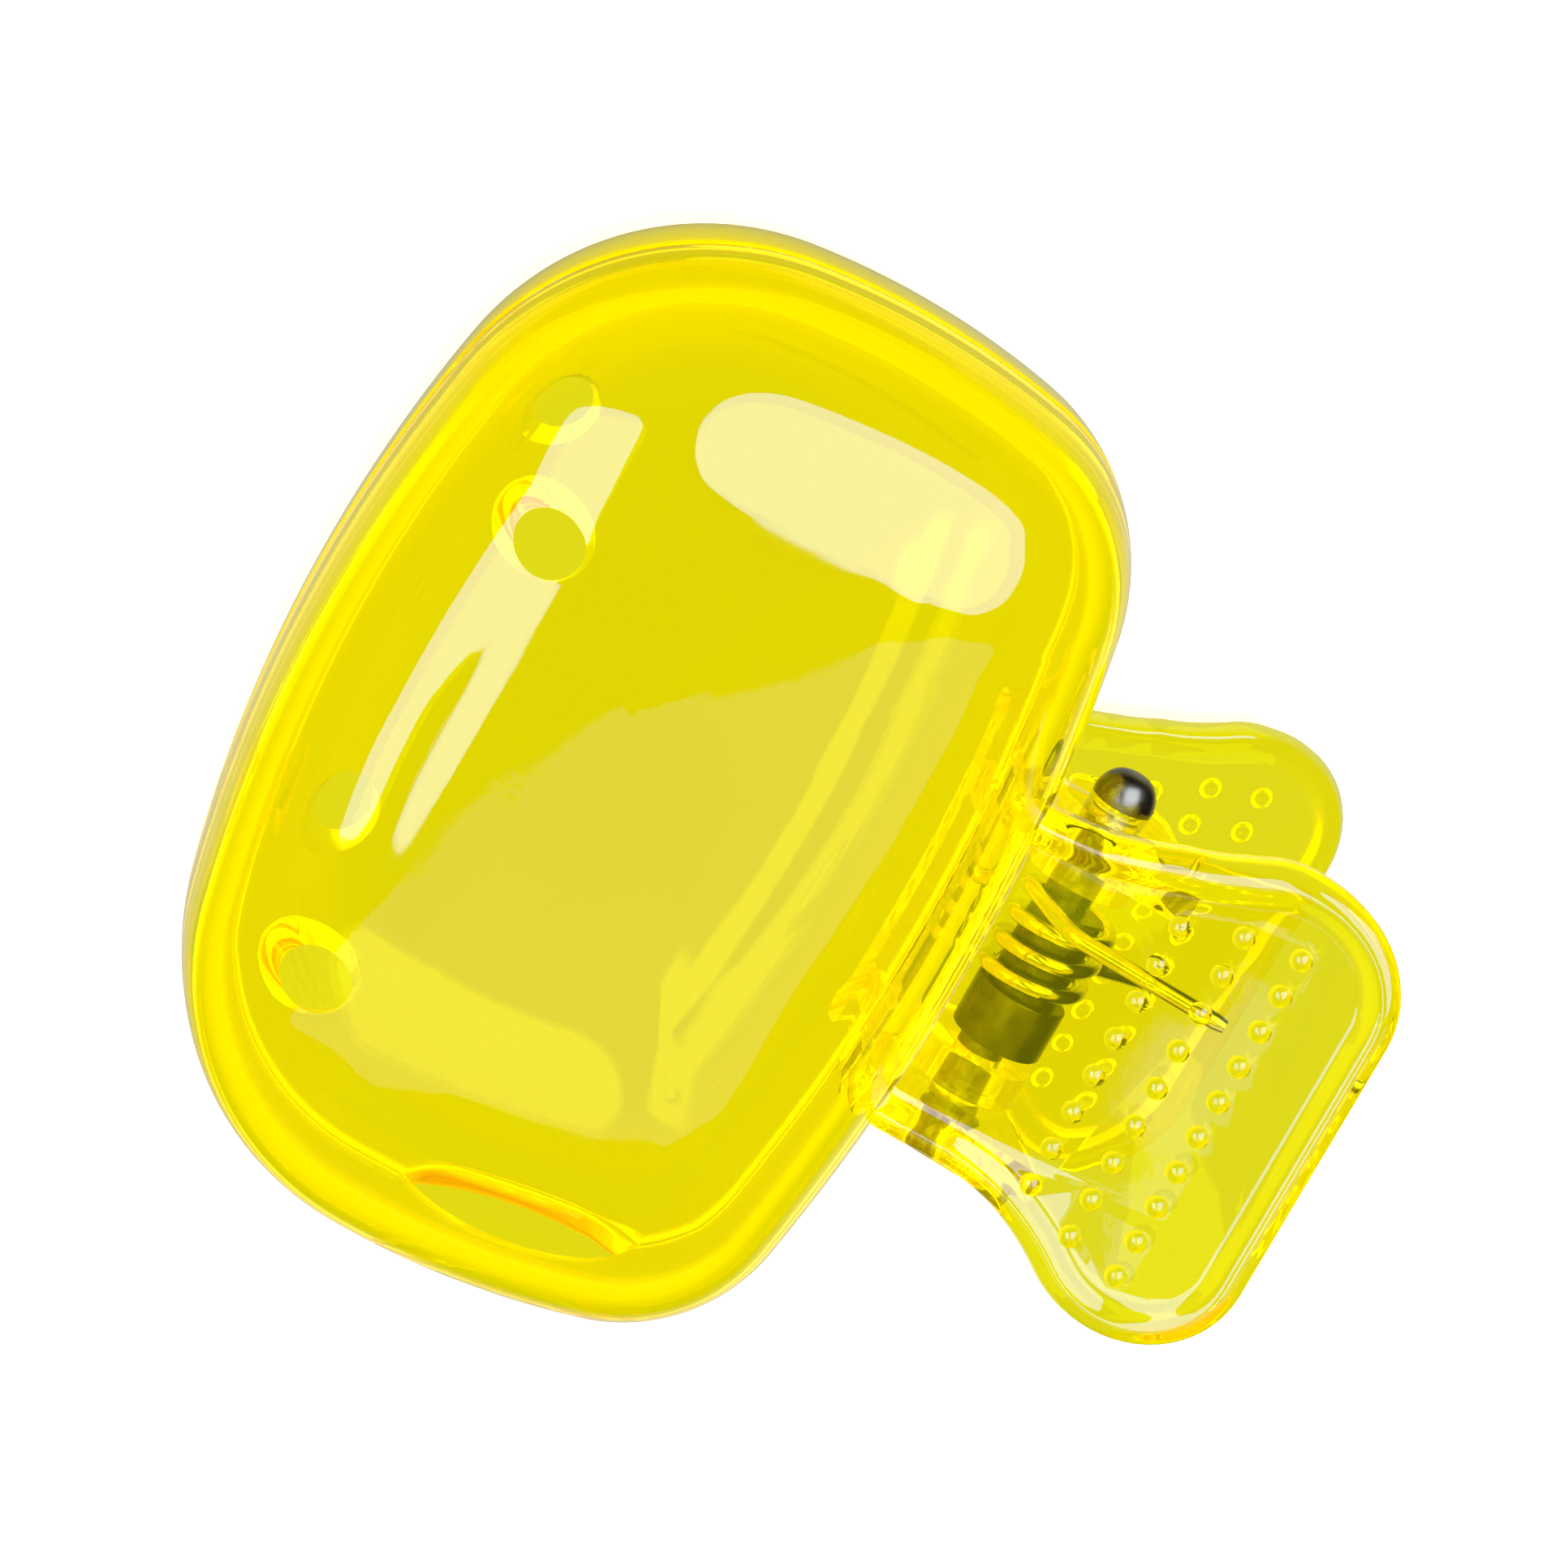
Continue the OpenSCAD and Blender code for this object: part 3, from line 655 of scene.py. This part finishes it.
def plastic_material():
    """Clear dyed plastic, faintly uneven, with a painted glow. Lamps shine through it with a tinted shadow.
    """
    material = bpy.data.materials.new("clear_yellow_plastic")
    tree = nodes_of(material)
    soft = noise(tree, scale=260.0)
    fine = noise(tree, scale=1800.0, detail=4.0)
    waves = add(tree, "ShaderNodeBump", Strength=0.012, Distance=0.0002, Height=soft.outputs["Fac"])
    grain = add(tree, "ShaderNodeBump", Strength=0.02, Distance=0.00003, Height=fine.outputs["Fac"],
                Normal=waves.outputs[0])
    body = add(tree, "ShaderNodeBsdfPrincipled", IOR=1.5, Normal=grain.outputs[0],
               Roughness=ramp(tree, soft.outputs["Fac"], low=0.3, high=0.7, to_low=0.01, to_high=0.035))
    body.inputs["Base Color"].default_value = (*PASS_TINT, 1)
    body.inputs["Transmission Weight"].default_value = 1.0
    inside = add(tree, "ShaderNodeVolumeAbsorption", Color=(*INSIDE_TINT, 1), Density=INSIDE_DENSITY)
    # Painted glow: light added where a face is seen from behind, inside the walls.
    face = add(tree, "ShaderNodeNewGeometry")
    painted_glow = add(tree, "ShaderNodeMath", operation="MULTIPLY")
    tree.links.new(face.outputs["Backfacing"], painted_glow.inputs[0])
    painted_glow.inputs[1].default_value = PAINTED_GLOW
    body.inputs["Emission Color"].default_value = (*PAINTED_GLOW_TINT, 1)
    tree.links.new(painted_glow.outputs[0], body.inputs["Emission Strength"])
    light = add(tree, "ShaderNodeLightPath")
    clear = add(tree, "ShaderNodeBsdfTransparent", Color=(*SHADOW_TINT, 1))
    surface = mixed(tree, light.outputs["Is Shadow Ray"], body.outputs[0], clear.outputs[0])
    add(tree, "ShaderNodeOutputMaterial", Surface=surface, Volume=inside.outputs[0])
    return material


def steel_material(name, tones, rough):
    """Steel with patches between two tones, and fine scuffs."""
    material = bpy.data.materials.new(name)
    tree = nodes_of(material)
    patches = noise(tree, scale=900.0, detail=5.0)
    scuffs = noise(tree, scale=5200.0, detail=2.0)
    share = ramp(tree, patches.outputs["Fac"], low=0.35, high=0.65, to_low=0.0, to_high=1.0)
    bump = add(tree, "ShaderNodeBump", Strength=0.12, Distance=0.00002, Height=scuffs.outputs["Fac"])
    body = add(tree, "ShaderNodeBsdfPrincipled", Base_Color=between(tree, share, *tones), Metallic=1.0,
               Roughness=ramp(tree, patches.outputs["Fac"], 0.3, 0.7, *rough), Normal=bump.outputs[0])
    add(tree, "ShaderNodeOutputMaterial", Surface=body.outputs[0])
    return material


def floor_material():
    """A white floor with a soft shadow. Glass and metal see painted light on it, by distance from FLOOR_SPOT.
    """
    material = bpy.data.materials.new("studio_floor")
    tree = nodes_of(material)
    light = add(tree, "ShaderNodeLightPath")
    fine = noise(tree, scale=30.0)
    matte = add(tree, "ShaderNodeBsdfDiffuse", Color=ramp(tree, fine.outputs["Fac"], 0.0, 1.0, *FLOOR_SHADES))
    lift = add(tree, "ShaderNodeEmission", Strength=FLOOR_LIFT)
    both = tree.nodes.new("ShaderNodeAddShader")
    tree.links.new(matte.outputs[0], both.inputs[0])
    tree.links.new(lift.outputs[0], both.inputs[1])
    where = add(tree, "ShaderNodeTexCoord")
    off = add(tree, "ShaderNodeVectorMath", operation="SUBTRACT")
    tree.links.new(where.outputs["Object"], off.inputs[0])
    off.inputs[1].default_value = FLOOR_SPOT
    drawn = add(tree, "ShaderNodeVectorMath", operation="MULTIPLY")
    tree.links.new(off.outputs[0], drawn.inputs[0])
    drawn.inputs[1].default_value = FLOOR_SPOT_STRETCH
    away = add(tree, "ShaderNodeVectorMath", operation="LENGTH")
    tree.links.new(drawn.outputs[0], away.inputs[0])
    # Painted light and shade: near FLOOR_SPOT the floor is darker through the plastic and brighter in
    # mirrors.
    painted_mirrored_light = ramp(tree, away.outputs["Value"], *MIRRORED_REACH, *FLOOR_MIRRORED)
    painted_seen_light = ramp(tree, away.outputs["Value"], *SEEN_REACH, *FLOOR_SEEN)
    strength = either(tree, light.outputs["Is Transmission Ray"], painted_mirrored_light, painted_seen_light)
    far = ramp(tree, away.outputs["Value"], *SEEN_REACH, 0.0, 1.0)
    lit = add(tree, "ShaderNodeEmission", Color=between(tree, far, WHITE, FAR_TINT), Strength=strength)
    seen = add(tree, "ShaderNodeMath", operation="MAXIMUM")
    tree.links.new(light.outputs["Is Glossy Ray"], seen.inputs[0])
    tree.links.new(light.outputs["Is Transmission Ray"], seen.inputs[1])
    plain = mixed(tree, light.outputs["Is Camera Ray"], matte.outputs[0], both.outputs[0])
    add(tree, "ShaderNodeOutputMaterial", Surface=mixed(tree, seen.outputs[0], plain, lit.outputs[0]))
    return material


# The pieces.

plastic = plastic_material()
dark_steel = steel_material("dark_steel", DARK_STEEL_TONES, STEEL_ROUGH)
pin_steel = steel_material("pin_steel", PIN_STEEL_TONES, STEEL_ROUGH)
spring_steel = steel_material("spring_wire", SPRING_TONES, SPRING_ROUGH)

front = make_shell("front_case", OUTER_EAR_Y, FRONT_WING_SHIFT, FRONT_NECK_ROOM, FRONT_DOT_SHIFT, False)
rear = make_shell("rear_case", INNER_EAR_Y, REAR_WING_SHIFT, REAR_NECK_ROOM, REAR_DOT_SHIFT, True)
pin = make_pin()
smooth(pin, 50)
sleeve = make_sleeve()
smooth(sleeve, 50)
spring = new_piece("spring", tube_skin(spring_line(), WIRE_R))
smooth(spring, 60)

for piece, body, node, slot, material in (
        (front, "front", "front_shell", "clear_yellow_plastic", plastic),
        (rear, "rear", "rear_shell", "clear_yellow_plastic", plastic),
        (pin, "front", "hinge_pin", "dark_steel", pin_steel),
        (sleeve, "front", "spring_sleeve", "dark_steel", dark_steel)):
    piece.data.materials.clear()
    piece.data.materials.append(material)
    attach(piece, body)
    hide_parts(node)

spring.data.materials.append(spring_steel)
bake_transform(spring)
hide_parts("torsion_spring")


# The studio.

FLOOR_HALF = 1.5
OVERHEAD_PLACE, OVERHEAD_AIM = (0.0, 0.1, 0.5), (0.005, 0.0, 0.0)
OVERHEAD_SIZE, OVERHEAD_WATTS = (0.12, 0.05), 1.2


def stage_piece(name, verts, faces, material):
    """A part of the studio, which isn't a part of the case."""
    mesh = bpy.data.meshes.new(name)
    mesh.from_pydata(verts, [], faces)
    mesh.materials.append(material)
    obj = bpy.data.objects.new(name, mesh)
    bpy.context.scene.collection.objects.link(obj)
    return obj


floor_corners = [(x * FLOOR_HALF, y * FLOOR_HALF, 0) for x, y in ((-1, -1), (1, -1), (1, 1), (-1, 1))]
stage_piece("floor", floor_corners, [(0, 1, 2, 3)], floor_material())


def lamp(name, place, aim, size, watts):
    data = bpy.data.lights.new(name, "AREA")
    data.shape = "RECTANGLE"
    data.size, data.size_y = size
    data.energy = watts
    obj = bpy.data.objects.new(name, data)
    obj.location = place
    obj.rotation_euler = (Vector(aim) - Vector(place)).to_track_quat("-Z", "Y").to_euler()
    obj.visible_glossy = False
    obj.visible_transmission = False
    bpy.context.scene.collection.objects.link(obj)


lamp("overhead", OVERHEAD_PLACE, OVERHEAD_AIM, OVERHEAD_SIZE, OVERHEAD_WATTS)

# Lit panels far above, which show only as reflections. Each outline is in degrees from straight up.
# BAR and STRIP are the two bright ones, PALE is the dim one across the face, and PAD is on the front wing.
PANEL_AWAY, PANEL_STEP = 3.0, 2.0
CORNER_CUT, CORNER_ROUNDS = 0.2, 2
BAR_LIGHT, STRIP_LIGHT = (3.0, 3.4, 8.2), (3.0, 3.4, 7.8)
PALE_LIGHT, PAD_LIGHT = (0.35, 0.4, 1.1), (0.55, 0.6, 1.9)
BAR = [(-12.5, 57.5), (-19, 48), (-19, 33.5), (-12.5, 18.5), (-2.5, 4.5), (5, -3.5), (8.5, -5), (10.5, -5),
       (16.5, -1.5), (26, 4), (36.5, 16.5), (41, 36.5), (35, 58), (31.5, 68.5), (21.5, 68.5), (10.5, 66),
       (-3.5, 62.5)]
STRIP = [(-68, 26.5), (-53, 31), (-35, 30), (-26.5, 10), (-15.5, -8.5), (-9.5, -13), (-5.5, -15.5),
         (-4, -17.5), (-8.5, -20), (-17, -20.5), (-18.5, -19), (-19, -15.5), (-24.5, -13.5), (-30.5, -15),
         (-34.5, -17), (-32.5, -21), (-32, -22), (-35, -23.5), (-45, -26), (-47.5, -24), (-49.5, -21.5),
         (-50, -18), (-52.5, -12.5), (-56, -6), (-61, 2.5)]
PALE = [(11.5, -7.5), (16.5, -7.5), (38.5, 0), (39, -12), (34, -14), (29, -16), (25, -17.5), (22.5, -18.5),
        (24.5, -20), (26, -21.5), (24.5, -22), (16, -24.5), (10.5, -26.5), (3.5, -28.5), (-6.5, -30.5),
        (-36.5, -43.5), (-29.5, -29), (-19, -24), (-5, -20), (-2.5, -17.5), (0.5, -17.5), (8.5, -14),
        (10, -11.5)]
PAD = [(-20.2, -16), (-19.6, -16.2), (-19.4, -16.4), (-19.4, -17.2), (-19.3, -18.1), (-19.2, -18.8),
       (-19, -19.3), (-19.5, -19.4), (-19.6, -19), (-19.9, -18.7), (-19.7, -18.1), (-20, -17.9),
       (-20.4, -17.8), (-20.5, -17.1), (-20.5, -16.8), (-20.1, -16.7), (-19.9, -16.4)]


def softened(outline):
    """The outline with its corners cut twice, which rounds them."""
    for _ in range(CORNER_ROUNDS):
        after = np.roll(outline, -1, axis=0)
        near, far = 1 - CORNER_CUT, CORNER_CUT
        pairs = [near * outline + far * after, far * outline + near * after]
        outline = np.stack(pairs, axis=1).reshape(-1, 2)
    return outline


def panel(name, outline, colour):
    """A lit sheet on a great dome over the case, with an even glow."""
    outline = softened(np.array(outline))
    spots = []
    for p, q in zip(outline, np.roll(outline, -1, axis=0)):
        pieces = max(1, int(np.linalg.norm(q - p) / PANEL_STEP))
        spots += [p + (q - p) * i / pieces for i in range(pieces)]
    spots = np.array(spots)
    tilt, turn = np.radians(np.hypot(*spots.T)), np.arctan2(spots[:, 1], spots[:, 0])
    aside = np.sin(tilt)
    places = PANEL_AWAY * np.column_stack([aside * np.cos(turn), aside * np.sin(turn), np.cos(tilt)])
    faces = tessellate_polygon([[Vector((x, y, 0)) for x, y in spots]])
    material = bpy.data.materials.new(name)
    tree = nodes_of(material)
    light = add(tree, "ShaderNodeEmission", Color=(*colour, 1))
    add(tree, "ShaderNodeOutputMaterial", Surface=light.outputs[0])
    sheet = stage_piece(name, [tuple(p) for p in places], [tuple(f) for f in faces], material)
    sheet.visible_camera = False
    sheet.visible_diffuse = False
    sheet.visible_shadow = False


panel("panel_bar", BAR, BAR_LIGHT)
panel("panel_strip", STRIP, STRIP_LIGHT)
panel("panel_pale", PALE, PALE_LIGHT)
panel("panel_pad", PAD, PAD_LIGHT)


def studio_world():
    """The room: white to the camera, dim as light and in mirrors, darker overhead through the plastic."""
    world = bpy.data.worlds.new("studio")
    tree = nodes_of(world)
    path = add(tree, "ShaderNodeLightPath")
    where = add(tree, "ShaderNodeTexCoord")
    height = add(tree, "ShaderNodeSeparateXYZ", Vector=where.outputs["Generated"])
    through = ramp(tree, height.outputs["Z"], *OVERHEAD_FROM, ROOM_SEEN, ROOM_OVERHEAD)
    level = either(tree, path.outputs["Is Glossy Ray"], ROOM_LIGHT, ROOM_MIRRORED)
    level = either(tree, path.outputs["Is Transmission Ray"], level, through)
    level = either(tree, path.outputs["Is Camera Ray"], level, ROOM_SEEN)
    tint = between(tree, path.outputs["Is Transmission Ray"], WHITE, FAR_TINT)
    room = add(tree, "ShaderNodeBackground", Color=tint, Strength=level)
    add(tree, "ShaderNodeOutputWorld", Surface=room.outputs[0])
    return world


bpy.context.scene.world = studio_world()

# The photograph's camera: where it looks, from how far, and how it is turned.
AIM = (5.361, 2.103, 0.346 + HALF_T)
AZIMUTH, ELEVATION, ROLL = 211.276, 70.664, 176.315
DISTANCE = 260.0
LENS, SENSOR_WIDTH, NEAREST = 150.91, 36.0, 0.01


def camera_at(aim, azimuth, elevation, roll, distance):
    """The camera's matrix, from millimetres and degrees."""
    a, e, r = (math.radians(v) for v in (azimuth, elevation, roll))
    back = Vector((math.sin(a) * math.cos(e), -math.cos(a) * math.cos(e), math.sin(e)))
    side = Vector((0, 0, 1)).cross(back).normalized()
    up = back.cross(side)
    right = side * math.cos(r) + up * math.sin(r)
    up = back.cross(right)
    turn = Matrix((right, up, back)).transposed().to_4x4()
    return Matrix.Translation((Vector(aim) + back * distance) * MM) @ turn


data = bpy.data.cameras.new("photo_camera")
data.sensor_width = SENSOR_WIDTH
data.lens = LENS
data.clip_start = NEAREST
camera = bpy.data.objects.new("photo_camera", data)
camera.matrix_world = camera_at(AIM, AZIMUTH, ELEVATION, ROLL, DISTANCE)
bpy.context.scene.collection.objects.link(camera)
bpy.context.scene.camera = camera
bpy.context.scene.view_settings.view_transform = "Standard"

# Light turns many times inside clear walls before it leaves them.
BOUNCES = 28
cycles = bpy.context.scene.cycles
cycles.max_bounces = BOUNCES
cycles.glossy_bounces = BOUNCES
cycles.transmission_bounces = BOUNCES
